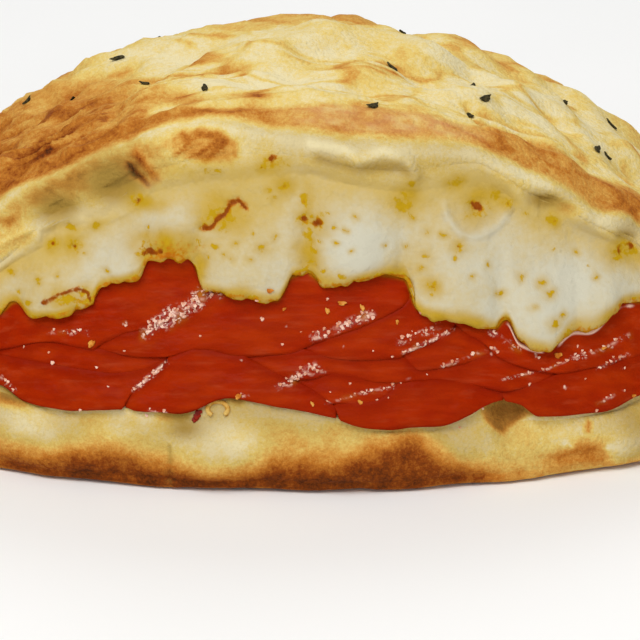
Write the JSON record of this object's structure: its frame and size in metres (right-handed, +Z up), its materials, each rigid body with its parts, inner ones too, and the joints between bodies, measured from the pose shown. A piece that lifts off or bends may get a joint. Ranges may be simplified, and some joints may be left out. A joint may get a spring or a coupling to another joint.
{
  "type": "stromboli",
  "caption": "Baked stromboli: a half-moon of folded dough whose long side gapes over layered sausage slices and melted cheese, with a flat underside.",
  "frame": {"origin": "centre of the bounding box in plan, at the height of the flat underside", "axes": "+X along the length, -Y the way the open side faces, +Z up"},
  "size_m": [0.2, 0.117, 0.0683],
  "materials": {
    "crust": "baked dough, pale cream to orange brown, matt",
    "cheese": "melted mozzarella, off-white, softly glossy, stained with oil",
    "sausage": "oily red sausage, glossy"
  },
  "bodies": {
    "root": {"crust": "crust", "mozzarella": "cheese", "sausage_slice_01": "sausage", "sausage_slice_02": "sausage", "sausage_slice_03": "sausage", "sausage_slice_04": "sausage", "sausage_slice_05": "sausage", "sausage_slice_06": "sausage", "sausage_slice_07": "sausage", "sausage_slice_08": "sausage", "sausage_slice_09": "sausage", "sausage_slice_10": "sausage", "sausage_slice_11": "sausage", "sausage_slice_12": "sausage"}
  },
  "joints": []
}
